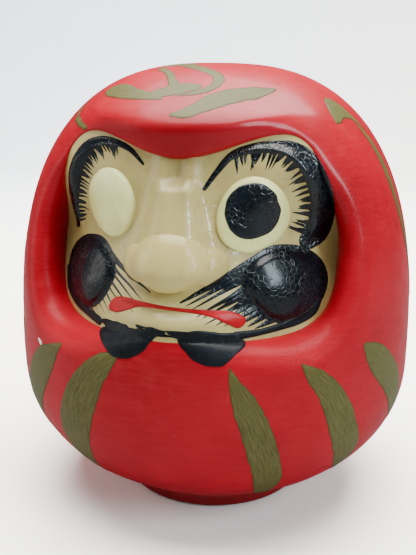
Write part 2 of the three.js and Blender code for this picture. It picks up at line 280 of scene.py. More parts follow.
def cheek_height(x, z, side):
    dx = (x - side * CHEEK_CENTRE[0]) * side
    dz = z - CHEEK_CENTRE[1]
    share = np.hypot(dx, dz) / cheek_radius(np.arctan2(dz, dx))
    return CHEEK_RELIEF * np.maximum(0.0, 1.0 - share ** 2) * smooth_step((1.0 - share) / 0.3)


def small_forms(x, z):
    """Soft modelling of the face panel itself: frown, lips, mouth crease, the dip under the nose, eye
    sockets.
    """
    frown = 1.8 * gaussian(x, z, (-6.6, 160.0), (3.0, 7.0)) + 2.0 * gaussian(x, z, (5.6, 159.0), (3.0, 8.0))
    frown -= 0.9 * gaussian(x, z, (-0.4, 159.0), (2.2, 6.0))
    lower_lip = 2.2 * gaussian(x, z, (2.5, 103.8), (19.0, 3.4))
    upper_lip = 1.5 * gaussian(x, z, (0.0, 112.4), (15.0, 3.0))
    crease = -1.0 * gaussian(x, z, (1.0, 108.2), (22.0, 1.6))
    under_nose = -1.1 * gaussian(x, z, (0.0, 115.8), (15.0, 2.0))
    sockets = gaussian(x, z, (14.5, 146.0), (4.5, 11.0)) + gaussian(x, z, (-14.5, 146.0), (4.5, 11.0))
    return frown + lower_lip + upper_lip + crease + under_nose - 1.3 * sockets


def brow_height(x, z, side):
    inside = -ribbon_distance(x, z, BROW_LINE, side)
    return BROW_RELIEF * smooth_step(inside / 5.4)


def face_y(x, z, reliefs=True):
    y = face_floor(x, z) - small_forms(x, z)
    if reliefs:
        lift = nose_height(x, z)
        for side in (-1.0, 1.0):
            lift = lift + eye_height(x, z, side) + cheek_height(x, z, side) + brow_height(x, z, side)
        y = y - lift
    return y


# ---- the shell with its rolled lip ------------------------------------------------------------

def lip_fall(distance):
    t = np.clip(1.0 - distance / LIP_WIDTH, 0.0, 1.0)
    return 1.0 - np.sqrt(1.0 - t * t)


def lip_swell(distance, angle):
    over_brows = smooth_step((np.sin(angle) + 0.5) / 1.1)
    offset = (distance - HOOD_CREST) / HOOD_SWELL_SPREAD
    return HOOD_SWELL * over_brows * np.exp(-offset * offset)


def hand_shape(x, y, z):
    """Unevenness of a hand-finished shell; it fades out at the seam and the foot."""
    fade = smooth_step(np.abs(y) / 25.0) * smooth_step((z - SHELL_FLOOR) / 12.0)
    return fade * (0.45 * HAND_LUMPS(x, y, z) + 0.12 * FINE_LUMPS(x, y, z))


def shell_y(x, z, inset=0.0):
    """Front of the shell outside the opening."""
    dx = x - FACE_CENTRE[0]
    dz = z - FACE_CENTRE[1]
    angle = np.arctan2(dz, dx)
    edge = opening_radius(angle)
    distance = np.hypot(dx, dz) - edge
    seam = seam_radius(angle, FACE_CENTRE, inset)
    body = -body_depth(x, z, inset)
    fall = lip_fall(distance - inset)
    away = smooth_step((seam - edge - distance) / SEAM_FADE)
    ridge = RIDGE_SWELL * gaussian(x, z, RIDGE_CENTRE, RIDGE_SPREAD)
    swell = (lip_swell(distance, angle) + ridge) * away * (1.0 - fall)
    y = body + fall * (face_floor(x, z) + inset - body) - swell
    if inset == 0.0:
        y = y - hand_shape(x, body, z) * (1.0 - fall)
    return np.minimum(y, 0.0)


def front_y(x, z):
    """The whole front, face and shell, for paint that crosses from one to the other."""
    dx = x - FACE_CENTRE[0]
    dz = z - FACE_CENTRE[1]
    inside = np.hypot(dx, dz) < opening_radius(np.arctan2(dz, dx))
    return np.where(inside, face_y(x, z), shell_y(x, z))


# ---- meshes ----------------------------------------------------------------------------------

def add_mesh(name, points, faces, material, sharp=50.0, attributes=None):
    mesh = bpy.data.meshes.new(name)
    mesh.from_pydata((np.asarray(points) * MM).tolist(), [], faces)
    mesh.update()
    for key, values in (attributes or {}).items():
        layer = mesh.attributes.new(key, "FLOAT", "POINT")
        layer.data.foreach_set("value", np.asarray(values, np.float32))
    mesh.shade_smooth()
    mesh.set_sharp_from_angle(angle=math.radians(sharp))
    mesh.materials.append(material)
    piece = bpy.data.objects.new(name, mesh)
    bpy.context.collection.objects.link(piece)
    return piece


def ring_faces(rings, count, loop):
    """Quads between rings of `count` points, wound so that the first band faces out."""
    i = np.arange(count)
    j = (i + 1) % count
    quads = []
    for r in range(rings if loop else rings - 1):
        s = (r + 1) % rings
        quads.append(np.stack([r * count + i, s * count + i, s * count + j, r * count + j], axis=1))
    return np.vstack(quads).tolist()


def add_rings(name, rings, material, loop=False, flip=False):
    rings = np.asarray(rings)
    total, count = rings.shape[:2]
    faces = ring_faces(total, count, loop)
    points = rings.reshape(-1, 3)
    if not loop:
        first, last = len(points), len(points) + 1
        points = np.vstack([points, rings[0].mean(axis=0), rings[-1].mean(axis=0)])
        base = (total - 1) * count
        for i in range(count):
            j = (i + 1) % count
            faces.append([first, i, j])
            faces.append([last, base + j, base + i])
    if flip:
        faces = [face[::-1] for face in faces]
    return add_mesh(name, points, faces, material)


# ---- paint laid on a surface -------------------------------------------------------------------

class Canvas:
    """A flat parameter plane on which strokes are drawn, and how it wraps on the doll."""

    def __init__(self, place):
        self.place = place                  # (u, v) arrays to an array of points in mm

    def frame(self, u, v):
        step = 0.05
        here = self.place(u, v)
        du = self.place(u + step, v) - self.place(u - step, v)
        dv = self.place(u, v + step) - self.place(u, v - step)
        normal = np.cross(du, dv)
        normal /= np.linalg.norm(normal, axis=1)[:, None]
        return here, normal


def draw(strokes, cell, margin=1.0):
    """Signed distance to a set of strokes on a grid, with the way along and across them."""
    samples = [spline(stroke, per_span=12) for stroke in strokes]
    dense = []
    for line in samples:
        gaps = np.hypot(*np.diff(line[:, :2], axis=0).T)
        run = np.concatenate([[0.0], np.cumsum(gaps)])
        places = np.linspace(0.0, run[-1], max(3, int(run[-1] / (cell * 0.6))))
        dense.append(np.stack([np.interp(places, run, line[:, k]) for k in range(3)] + [places], axis=1))
    low = np.min([(d[:, :2] - d[:, 2:3]).min(axis=0) for d in dense], axis=0) - margin
    high = np.max([(d[:, :2] + d[:, 2:3]).max(axis=0) for d in dense], axis=0) + margin
    count = np.ceil((high - low) / cell).astype(int) + 1
    u = low[0] + cell * np.arange(count[0])
    v = low[1] + cell * np.arange(count[1])
    field = np.full((count[0], count[1]), margin)
    along = np.zeros_like(field)
    across = np.zeros_like(field)
    for line in dense:
        direction = np.gradient(line[:, :2], axis=0)
        direction /= np.maximum(1e-9, np.linalg.norm(direction, axis=1))[:, None]
        for (cu, cv, half, place), (tu, tv) in zip(line, direction):
            reach = half + margin
            i0, i1 = np.searchsorted(u, [cu - reach, cu + reach])
            j0, j1 = np.searchsorted(v, [cv - reach, cv + reach])
            du = u[i0:i1, None] - cu
            dv = v[None, j0:j1] - cv
            distance = np.hypot(du, dv) - half
            nearer = distance < field[i0:i1, j0:j1]
            field[i0:i1, j0:j1][nearer] = distance[nearer]
            along[i0:i1, j0:j1][nearer] = place
            side = (du * tv - dv * tu) / max(half, 0.3)
            across[i0:i1, j0:j1][nearer] = side[nearer]
    return u, v, field, along, across


def contour_cells(u, v, field, extras):
    """Polygons that cover field < 0, cut along its zero line."""
    vertices = []
    values = []
    index = {}

    def corner(i, j):
        key = (i, j)
        if key not in index:
            index[key] = len(vertices)
            vertices.append((u[i], v[j]))
            values.append([field[i, j]] + [e[i, j] for e in extras])
        return index[key]

    def crossing(a, b):
        key = (a, b) if a < b else (b, a)
        if key not in index:
            (i0, j0), (i1, j1) = key
            f0, f1 = field[i0, j0], field[i1, j1]
            t = min(0.98, max(0.02, f0 / (f0 - f1)))
            index[key] = len(vertices)
            vertices.append((u[i0] + t * (u[i1] - u[i0]), v[j0] + t * (v[j1] - v[j0])))
            inner = key[0] if f0 < 0 else key[1]
            values.append([0.0] + [e[inner] for e in extras])
        return index[key]

    inside = field < 0
    full = inside[:-1, :-1] | inside[1:, :-1] | inside[:-1, 1:] | inside[1:, 1:]
    faces = []
    for i, j in zip(*np.nonzero(full)):
        ring = [(i, j), (i + 1, j), (i + 1, j + 1), (i, j + 1)]
        polygon = []
        for k in range(4):
            a, b = ring[k], ring[(k + 1) % 4]
            if inside[a]:
                polygon.append(corner(*a))
            if inside[a] != inside[b]:
                polygon.append(crossing(a, b))
        if len(polygon) >= 3:
            faces.append(polygon)
    return np.array(vertices), np.array(values), faces


def closed_sheet(top, under, faces):
    """Joins a sheet to a copy of itself below, with walls along its free edges."""
    count = len(top)
    edges = set()
    for face in faces:
        edges.update(zip(face, face[1:] + face[:1]))
    walls = [[b, a, a + count, b + count] for a, b in sorted(edges) if (b, a) not in edges]
    below = [[p + count for p in reversed(face)] for face in faces]
    return np.vstack([top, under]), faces + below + walls


def paint(name, canvas, strokes, material, cell=0.5, thickness=0.16, ragged=0.0, ramp=0.7):
    """A closed film of paint: it rises from its edge and dips just under the surface."""
    cell = cell / FINE
    u, v, field, along, across = draw(strokes, cell)
    if ragged:
        grid_u, grid_v = np.meshgrid(u, v, indexing="ij")
        field = field + ragged * EDGE_LUMPS(grid_u, grid_v, 0.0)
    flat, values, faces = contour_cells(u, v, field, (along, across))
    here, normal = canvas.frame(flat[:, 0], flat[:, 1])
    depth = -values[:, 0]
    lift = 0.02 + thickness * np.sqrt(np.clip(depth / ramp, 0.0, 1.0))
    top = here + normal * lift[:, None]
    under = here - normal * 0.25
    points, faces = closed_sheet(top, under, faces)
    attributes = {
        "paint_depth": np.tile(depth, 2),
        "stroke_along": np.tile(values[:, 1], 2),
        "stroke_across": np.tile(values[:, 2], 2),
    }
    return add_mesh(name, points, faces, material, 60.0, attributes)


def front_place(u, v):
    """Canvas of the front view: u is x and v is z."""
    return np.stack([u, front_y(u, v), v], axis=1)


BELT_RADIUS = 88.0


def round_body(line):
    """A stroke given as (turn from the front in degrees, z, half-width), for the belt canvas."""
    return [(math.radians(turn) * BELT_RADIUS, z, half) for turn, z, half in line]


def belt_place(u, v):
    """Canvas round the body: u is the way round from the front, in mm at the waist, and v is z."""
    turn = u / BELT_RADIUS
    scale = section_scale(v)
    radius = scale / np.hypot(np.sin(turn) / BODY_HALF_WIDTH, np.cos(turn) / BODY_HALF_DEPTH)
    x = radius * np.sin(turn)
    y = -radius * np.cos(turn)
    ahead = np.where(np.abs(turn) < math.radians(88), shell_y(x, v), y)
    return np.stack([x, ahead, v], axis=1)


def crown_place(u, v):
    """Canvas of the top view: u is x and v is y; the height is searched for on the hood."""
    low = np.full_like(u, RIDGE_CENTRE[1])
    high = np.full_like(u, BODY_TOP)
    for _ in range(24):
        middle = (low + high) / 2
        below = shell_y(u, middle) < v
        low = np.where(below, middle, low)
        high = np.where(below, high, middle)
    return np.stack([u, v, (low + high) / 2], axis=1)


# ---- shader building ----------------------------------------------------------------------------

class Shader:
    """A material's node tree, with short calls for the nodes used here."""

    def __init__(self, name):
        self.material = bpy.data.materials.new(name)
        self.material.use_nodes = True
        self.tree = self.material.node_tree
        self.tree.nodes.clear()
        self.output = self.tree.nodes.new("ShaderNodeOutputMaterial")
        self.surface = self.tree.nodes.new("ShaderNodeBsdfPrincipled")
        self.tree.links.new(self.surface.outputs[0], self.output.inputs["Surface"])
        self.where = self.tree.nodes.new("ShaderNodeTexCoord").outputs["Object"]

    def node(self, kind, inputs=(), **settings):
        made = self.tree.nodes.new(kind)
        for key, value in settings.items():
            setattr(made, key, value)
        for key, value in dict(inputs).items():
            self.put(made.inputs[key], value)
        return made

    def put(self, socket, value):
        if isinstance(value, bpy.types.NodeSocket):
            self.tree.links.new(value, socket)
        else:
            socket.default_value = value

    def set(self, **values):
        for key, value in values.items():
            self.put(self.surface.inputs[key.replace("_", " ")], value)

    def noise(self, size_mm, detail=3.0, rough=0.5, where=None, distortion=0.0, stretch=(1, 1, 1)):
        vector = self.stretched(where or self.where, stretch)
        made = self.node("ShaderNodeTexNoise", {
            "Vector": vector, "Scale": 1.0 / (size_mm * MM), "Detail": detail,
            "Roughness": rough, "Distortion": distortion})
        return made.outputs["Fac"]

    def stretched(self, vector, stretch):
        if tuple(stretch) == (1, 1, 1):
            return vector
        return self.node("ShaderNodeMapping", {"Vector": vector, "Scale": stretch}).outputs["Vector"]

    def warped(self, amount_mm, size_mm):
        """Coordinates pushed about by noise, to break up regular cells."""
        drift = self.node("ShaderNodeTexNoise", {
            "Vector": self.where, "Scale": 1.0 / (size_mm * MM), "Detail": 2.0}).outputs["Color"]
        centred = self.node("ShaderNodeVectorMath", {0: drift, 1: (0.5, 0.5, 0.5)}, operation="SUBTRACT")
        pushed = self.node("ShaderNodeVectorMath", {0: centred.outputs[0]}, operation="SCALE")
        self.put(pushed.inputs["Scale"], amount_mm * MM)
        total = self.node("ShaderNodeVectorMath", {0: pushed.outputs[0], 1: self.where}, operation="ADD")
        return total.outputs[0]

    def cells(self, size_mm, feature="DISTANCE_TO_EDGE", where=None):
        made = self.node("ShaderNodeTexVoronoi", {
            "Vector": where or self.where, "Scale": 1.0 / (size_mm * MM)}, feature=feature)
        return made.outputs["Distance"]

    def math(self, operation, a, b=0.0):
        return self.node("ShaderNodeMath", {0: a, 1: b}, operation=operation).outputs[0]

    def ramp(self, value, low, high, out_low=0.0, out_high=1.0):
        made = self.node("ShaderNodeMapRange", {
            "Value": value, "From Min": low, "From Max": high, "To Min": out_low, "To Max": out_high})
        return made.outputs["Result"]

    def mix(self, share, a, b):
        made = self.node("ShaderNodeMix", data_type="RGBA")
        self.put(made.inputs[0], share)
        self.put(made.inputs[6], colour(a))
        self.put(made.inputs[7], colour(b))
        return made.outputs[2]

    def near(self, centre_mm, inner_mm, outer_mm):
        """1 within a distance of a place on the doll, falling to 0."""
        away = self.node("ShaderNodeVectorMath", {
            0: self.where, 1: tuple(c * MM for c in centre_mm)}, operation="DISTANCE").outputs["Value"]
        return self.ramp(away, outer_mm * MM, inner_mm * MM)

    def attribute(self, name):
        return self.node("ShaderNodeAttribute", attribute_name=name).outputs["Fac"]

    def bump(self, height, strength, depth_mm):
        inputs = {"Height": height, "Strength": strength, "Distance": depth_mm * MM}
        return self.node("ShaderNodeBump", inputs).outputs["Normal"]


def colour(value):
    if isinstance(value, tuple) and len(value) == 3:
        return (*value, 1.0)
    return value


def crack_lines(shader, size_mm, width, warp_mm=0.6):
    """1 on thin cracks between irregular cells."""
    where = shader.warped(warp_mm, size_mm * 1.7)
    return shader.ramp(shader.cells(size_mm, where=where), width, 0.0)


def red_lacquer():
    s = Shader("red_lacquer_paint")
    broad = s.noise(38, 3, 0.55)
    mottle = s.noise(7, 5, 0.6)
    brush = s.noise(3.2, 4, 0.6, stretch=(0.35, 0.35, 2.4))
    fine = s.noise(0.7, 3, 0.6)
    base = s.mix(s.ramp(broad, 0.3, 0.7), (0.31, 0.0016, 0.0085), (0.42, 0.0032, 0.015))
    base = s.mix(s.ramp(brush, 0.42, 0.72, 0.0, 0.4), base, (0.50, 0.010, 0.024))
    # painted shade: the red is darkened under the hood's rolled lip, standing in for the shade the hood
    # casts on its underside
    painted_shade_under_hood = s.math("MULTIPLY", s.near((2, -80, 167), 9, 42), 0.62)
    base = s.mix(painted_shade_under_hood, base, (0.20, 0.0008, 0.005))
    chalk = s.math("MULTIPLY", s.ramp(mottle, 0.5, 0.78), s.ramp(s.noise(23, 2, 0.5), 0.45, 0.65))
    base = s.mix(s.math("MULTIPLY", chalk, 0.16), base, (0.60, 0.07, 0.07))
    grain = s.ramp(s.noise(2.1, 6, 0.75), 0.62, 0.72)
    rubbed = s.math("MULTIPLY", grain, s.ramp(s.noise(17, 2), 0.55, 0.66))
    base = s.mix(s.math("MULTIPLY", rubbed, 0.4), base, (0.68, 0.22, 0.2))
    specks = s.ramp(s.cells(4.2, "F1"), 0.075, 0.055)
    sparse = s.ramp(s.noise(9, 1), 0.6, 0.63)
    base = s.mix(s.math("MULTIPLY", s.math("MULTIPLY", specks, sparse), 0.75), base, (0.05, 0.006, 0.006))
    crackled = s.math("MAXIMUM", s.near((66, -52, 150), 14, 46), s.near((52, -70, 92), 8, 30))
    crackled = s.math("MULTIPLY", crackled, s.ramp(s.noise(12, 2), 0.36, 0.56))
    cracks = s.math("MULTIPLY", crack_lines(s, 1.7, 0.07), crackled)
    base = s.mix(s.math("MULTIPLY", cracks, 0.3), base, (0.16, 0.003, 0.005))
    s.set(Base_Color=base, Specular_IOR_Level=0.1)
    s.set(Roughness=s.ramp(mottle, 0.3, 0.75, 0.36, 0.5))
    rolled = s.near((46, -62, 170), 16, 52)
    s.set(Coat_Weight=s.ramp(rolled, 0.0, 1.0, 0.05, 0.34), Coat_Roughness=0.16)
    skin = s.math("ADD", s.math("MULTIPLY", mottle, 0.5), s.math("MULTIPLY", fine, 0.28))
    skin = s.math("ADD", skin, s.math("MULTIPLY", brush, 0.35))
    skin = s.math("SUBTRACT", skin, s.math("MULTIPLY", cracks, 0.5))
    s.set(Normal=s.bump(skin, 0.55, 0.28))
    return s.material


def cream_varnish():
    s = Shader("cream_varnish")
    broad = s.noise(21, 3, 0.55)
    mottle = s.noise(5, 4, 0.6)
    base = s.mix(s.ramp(broad, 0.34, 0.68), (0.44, 0.345, 0.115), (0.54, 0.45, 0.17))
    aged = s.math("MULTIPLY", s.ramp(mottle, 0.48, 0.72), s.ramp(s.noise(14, 2), 0.42, 0.62))
    base = s.mix(s.math("MULTIPLY", aged, 0.55), base, (0.37, 0.245, 0.075))
    streaks = s.noise(1.6, 3, 0.6, stretch=(1.0, 1.0, 0.22))
    base = s.mix(s.ramp(streaks, 0.5, 0.8, 0.0, 0.22), base, (0.62, 0.54, 0.25))
    glaze = s.near((15, -70, 138), 5, 17)
    cracks = s.math("MULTIPLY", crack_lines(s, 3.4, 0.055, 1.0), s.ramp(glaze, 0.15, 0.7))
    hair = s.math("MULTIPLY", crack_lines(s, 9.0, 0.02, 2.4), s.ramp(s.noise(16, 2), 0.44, 0.6))
    lines = s.math("MAXIMUM", cracks, s.math("MULTIPLY", hair, 0.7))
    base = s.mix(s.math("MULTIPLY", lines, 0.45), base, (0.33, 0.22, 0.10))
    # painted light: the cream is lighter and yellower round the nose tip, standing in for the light that the
    # tip catches
    base = s.mix(s.math("MULTIPLY", s.near((0, -84, 127), 3, 26), 0.5), base, (0.64, 0.52, 0.18))
    s.set(Base_Color=base, Specular_IOR_Level=0.35)
    s.set(Roughness=s.ramp(mottle, 0.3, 0.75, 0.34, 0.46))
    s.set(Coat_Weight=s.ramp(glaze, 0.05, 0.6, 0.22, 0.75), Coat_Roughness=0.09)
    skin = s.math("ADD", s.math("MULTIPLY", s.noise(2.4, 3, 0.5), 0.5), s.math("MULTIPLY", streaks, 0.25))
    skin = s.math("SUBTRACT", skin, s.math("MULTIPLY", lines, 0.6))
    glass = s.math("SUBTRACT", s.noise(3.5, 2), s.math("MULTIPLY", cracks, 1.6))
    s.set(Normal=s.bump(skin, 0.4, 0.2), Coat_Normal=s.bump(glass, 0.6, 0.25))
    return s.material


def eye_gofun():
    s = Shader("eye_shell_white")
    base = s.mix(s.ramp(s.noise(9, 4, 0.6), 0.35, 0.68), (0.78, 0.77, 0.26), (0.93, 0.93, 0.41))
    base = s.mix(s.ramp(s.noise(0.9, 4, 0.65), 0.5, 0.72, 0.0, 0.3), base, (0.60, 0.56, 0.20))
    stain = s.math("MULTIPLY", s.near((-20.5, -74, 152), 0.2, 2.6), s.ramp(s.noise(1.2, 4, 0.7), 0.4, 0.6))
    spots = s.math("MULTIPLY", s.ramp(s.cells(3.3, "F1"), 0.09, 0.05), s.ramp(s.noise(6, 1), 0.55, 0.6))
    base = s.mix(s.math("MULTIPLY", s.math("MAXIMUM", stain, spots), 0.5), base, (0.34, 0.27, 0.12))
    s.set(Base_Color=base, Roughness=s.ramp(s.noise(4, 3), 0.3, 0.7, 0.32, 0.46))
    s.set(Coat_Weight=0.4, Coat_Roughness=0.16)
    s.set(Normal=s.bump(s.noise(1.5, 4, 0.6), 0.35, 0.18))
    return s.material


def black_enamel(name, crackle, gloss_roughness, scuffs, coat):
    s = Shader(name)
    swirl = s.noise(2.8, 5, 0.7, distortion=1.6)
    base = s.mix(s.ramp(s.noise(12, 3), 0.35, 0.7), (0.0015, 0.003, 0.005), (0.005, 0.009, 0.014))
    worn = s.math("MULTIPLY", s.ramp(swirl, 0.58, 0.7), scuffs)
    base = s.mix(worn, base, (0.07, 0.08, 0.085))
    cracks = crack_lines(s, 2.1, 0.1, 0.7)
    patches = s.ramp(s.noise(9, 2), 0.38, 0.56)
    cracks = s.math("MULTIPLY", s.math("MULTIPLY", cracks, patches), crackle)
    base = s.mix(s.math("MULTIPLY", cracks, 0.35), base, (0.06, 0.06, 0.055))
    s.set(Base_Color=base, Specular_IOR_Level=0.15)
    s.set(Roughness=s.ramp(swirl, 0.3, 0.7, gloss_roughness, gloss_roughness + 0.12))
    s.set(Coat_Weight=coat, Coat_Roughness=0.09)
    wrinkles = s.math("SUBTRACT", s.math("MULTIPLY", s.noise(1.3, 3, 0.55), 0.35), cracks)
    s.set(Normal=s.bump(wrinkles, 0.25, 0.2), Coat_Normal=s.bump(wrinkles, 0.45, 0.2))
    return s.material


def gold_paint():
    s = Shader("gold_brush_paint")
    across = s.attribute("stroke_across")
    along = s.attribute("stroke_along")
    line = s.node("ShaderNodeCombineXYZ", {
        "X": s.math("MULTIPLY", across, 0.012), "Y": s.math("MULTIPLY", along, 0.00022)}).outputs[0]
    hairs = s.noise(1.6, 4, 0.65, where=line)
    cloud = s.noise(8, 4, 0.6)
    base = s.mix(s.ramp(hairs, 0.32, 0.7), (0.056, 0.053, 0.012), (0.145, 0.134, 0.040))
    base = s.mix(s.ramp(cloud, 0.45, 0.75, 0.0, 0.5), base, (0.098, 0.093, 0.032))
    edge = s.ramp(s.attribute("paint_depth"), 0.0, 0.55)
    base = s.mix(edge, (0.045, 0.033, 0.009), base)
    flakes = s.ramp(s.noise(0.45, 2, 0.5), 0.6, 0.7)
    base = s.mix(s.math("MULTIPLY", flakes, 0.35), base, (0.22, 0.20, 0.085))
    s.set(Base_Color=base, Specular_IOR_Level=0.15, Roughness=s.ramp(hairs, 0.3, 0.7, 0.38, 0.55))
    s.set(Normal=s.bump(s.math("ADD", hairs, s.math("MULTIPLY", flakes, 0.2)), 0.5, 0.14))
    return s.material


def mouth_red():
    s = Shader("mouth_red_paint")
    base = s.mix(s.ramp(s.noise(5, 4), 0.35, 0.7), (0.36, 0.003, 0.008), (0.50, 0.006, 0.012))
    edge = s.ramp(s.attribute("paint_depth"), 0.0, 0.6)
    s.set(Base_Color=s.mix(edge, (0.30, 0.01, 0.012), base), Roughness=0.3)
    s.set(Coat_Weight=0.05, Coat_Roughness=0.15, Specular_IOR_Level=0.15)
    s.set(Normal=s.bump(s.noise(1.4, 3), 0.3, 0.15))
    return s.material


def foot_paint():
    s = Shader("foot_red_paint")
    height = s.node("ShaderNodeSeparateXYZ", {0: s.where}).outputs["Z"]
    base = s.mix(s.ramp(s.noise(11, 4), 0.35, 0.7), (0.33, 0.004, 0.008), (0.44, 0.008, 0.013))
    low = s.ramp(height, 2.2 * MM, 0.9 * MM)
    chips = s.math("MULTIPLY", s.ramp(s.noise(2.2, 5, 0.7), 0.55, 0.64), low)
    base = s.mix(chips, base, (0.30, 0.19, 0.12))
    s.set(Base_Color=base, Roughness=s.ramp(s.noise(4, 3), 0.3, 0.7, 0.42, 0.58))
    s.set(Coat_Weight=0.15, Coat_Roughness=0.3)
    s.set(Normal=s.bump(s.noise(1.8, 5, 0.6), 0.5, 0.3))
    return s.material


def plain_paper():
    s = Shader("plain_paper")
    fibres = s.noise(1.1, 6, 0.7, stretch=(1.0, 0.25, 1.0), distortion=0.8)
    base = s.mix(s.ramp(fibres, 0.35, 0.7), (0.40, 0.29, 0.15), (0.62, 0.50, 0.31))
    base = s.mix(s.ramp(s.noise(14, 3), 0.5, 0.8, 0.0, 0.5), base, (0.30, 0.20, 0.10))
    s.set(Base_Color=base, Roughness=0.86)
    s.set(Normal=s.bump(fibres, 0.6, 0.2))
    return s.material


def dried_clay():
    s = Shader("dried_clay")
    grit = s.noise(1.4, 7, 0.7)
    base = s.mix(s.ramp(grit, 0.35, 0.7), (0.17, 0.115, 0.075), (0.31, 0.23, 0.16))
    cracks = crack_lines(s, 11, 0.03, 3.0)
    base = s.mix(s.math("MULTIPLY", cracks, 0.7), base, (0.06, 0.04, 0.028))
    s.set(Base_Color=base, Roughness=0.92)
    s.set(Normal=s.bump(s.math("SUBTRACT", grit, cracks), 0.7, 0.5))
    return s.material


def bare_gesso():
    s = Shader("bare_gesso")
    base = s.mix(s.ramp(s.noise(0.8, 4), 0.4, 0.7), (0.78, 0.75, 0.68), (0.88, 0.86, 0.82))
    s.set(Base_Color=base, Roughness=0.8)
    s.set(Normal=s.bump(s.noise(0.5, 4), 0.5, 0.1))
    return s.material


# ---- pieces ------------------------------------------------------------------------------------------

def finish_piece(piece, slot, *nodes):
    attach(piece, "root")
    if nodes:
        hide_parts(*nodes)
    return piece


SHELL_ANGLES = int(720 * FINE)


def front_shell_rings(inset, lip_steps, body_steps):
    angle = np.linspace(0.0, 2 * math.pi, SHELL_ANGLES, endpoint=False)
    edge = opening_radius(angle)
    seam = seam_radius(angle, FACE_CENTRE, inset)
    rings = []
    for step in range(lip_steps + body_steps + 1):
        lip = LIP_WIDTH * (1.0 - math.cos(min(1.0, step / lip_steps) * math.pi / 2))
        beyond = math.sin(max(0.0, (step - lip_steps) / body_steps) * math.pi / 2)
        reach = edge + lip + (seam - edge - LIP_WIDTH) * beyond
        x = FACE_CENTRE[0] + reach * np.cos(angle)
        z = FACE_CENTRE[1] + reach * np.sin(angle)
        rings.append(np.stack([x, shell_y(x, z, inset), z], axis=1))
    return rings


def shell_front(material):
    outer = front_shell_rings(0.0, int(34 * FINE), int(120 * FINE))
    inner = front_shell_rings(WALL, 6, 14)
    piece = add_rings("shell_front_painted", outer + inner[::-1], material, loop=True)
    return finish_piece(piece, "red_lacquer", "shell_front")


BACK_CENTRE = (0.0, 100.0)


def back_shell_rings(inset, steps):
    angle = np.linspace(0.0, 2 * math.pi, SHELL_ANGLES, endpoint=False)
    seam = seam_radius(angle, BACK_CENTRE, inset)
    rings = []
    for step in range(1, steps + 1):
        reach = seam * math.sin(step / steps * math.pi / 2)
        x = BACK_CENTRE[0] + reach * np.cos(angle)
        z = BACK_CENTRE[1] + reach * np.sin(angle)
        y = body_depth(x, z, inset)
        if inset == 0.0:
            y = y + hand_shape(x, y, z)
        rings.append(np.stack([x, y, z], axis=1))
    return rings


def shell_back(material):
    outer = back_shell_rings(0.0, int(120 * FINE))
    inner = back_shell_rings(WALL, 16)
    piece = add_rings("shell_back_painted", outer + inner[::-1], material, flip=True)
    return finish_piece(piece, "red_lacquer", "shell_back")


def face_panel(material):
    angle = np.linspace(0.0, 2 * math.pi, SHELL_ANGLES, endpoint=False)
    edge = opening_radius(angle) + 0.3
    front, back = [], []
    steps = int(150 * FINE)
    for step in range(1, steps + 1):
        reach = edge * step / steps
        x = FACE_CENTRE[0] + reach * np.cos(angle)
        z = FACE_CENTRE[1] + reach * np.sin(angle)
        front.append(np.stack([x, face_y(x, z, reliefs=False), z], axis=1))
        if step % 10 == 0:
            back.append(np.stack([x, face_floor(x, z) + PANEL_THICKNESS, z], axis=1))
    piece = add_rings("face_panel_painted", front + back[::-1], material)
    return finish_piece(piece, "face_cream", "face_panel")


def relief_pad(name, reach_at, centre, height, material, steps, angles, slot, node, side=1.0):
    """A raised form set on the face; its thin rim sinks just below the panel's surface."""
    angle = np.linspace(0.0, 2 * math.pi, int(angles * FINE), endpoint=False)
    reach = reach_at(angle)
    top, under = [], []
    steps = int(steps * FINE)
    for step in range(1, steps + 1):
        share = math.sin(step / steps * math.pi / 2)
        x = side * (centre[0] + reach * share * np.cos(angle))
        z = centre[1] + reach * share * np.sin(angle)
        floor = face_y(x, z, reliefs=False)
        top.append(np.stack([x, floor + 0.03 - height(x, z), z], axis=1))
        if step % 8 == 0 or step == steps:
            under.append(np.stack([x, floor + 0.6, z], axis=1))
    piece = add_rings(name, top + under[::-1], material, flip=side < 0)
    return finish_piece(piece, slot, node)


NOSE_PAD_HALF = [
    (0, 160), (9, 158.5), (12.5, 151), (15.5, 142), (20, 134.5), (23.5, 128), (23, 120.5),
    (18, 116), (10, 114.5), (0, 114.2),
]
NOSE_CENTRE = (0.0, 133.0)


def nose(material):
    reach = radius_by_angle(mirrored(NOSE_PAD_HALF), NOSE_CENTRE)
    return relief_pad("nose_painted", reach, NOSE_CENTRE, nose_height,
                      material, 80, 360, "face_cream", "nose")


def eye(side, label, material):
    across, tall = EYE_RADII[side]

    def reach(angle):
        return 1.06 / np.hypot(np.cos(angle) / across, np.sin(angle) / tall)

    centre = (abs(EYE_CENTRES[side][0]), EYE_CENTRES[side][1])
    return relief_pad(f"eye_{label}_dome", reach, centre, lambda x, z: eye_height(x, z, side),
                      material, 70, 240, "eye_white", f"eye_{label}", side)


def cheek(side, label, material):
    return relief_pad(f"cheek_{label}_lobe", lambda a: cheek_radius(a) * 1.02, CHEEK_CENTRE,
                      lambda x, z: cheek_height(x, z, side), material, 60, 300,
                      "black_ink", f"cheek_{label}", side)


def brow(side, label, material):
    """The brow's raised crescent, under its paint."""
    line = [(side * u, v, half + 0.3) for u, v, half in BROW_LINE]
    u, v, field, along, across = draw([line], 0.5 / FINE)
    flat, _, faces = contour_cells(u, v, field, (along, across))
    x, z = flat[:, 0], flat[:, 1]
    floor = face_y(x, z, reliefs=False)
    top = np.stack([x, floor + 0.03 - brow_height(x, z, side), z], axis=1)
    under = np.stack([x, floor + 0.6, z], axis=1)
    points, faces = closed_sheet(top, under, faces)
    piece = add_mesh(f"brow_{label}_relief", points, faces, material, 60.0)
    return finish_piece(piece, "face_cream", f"brow_{label}")


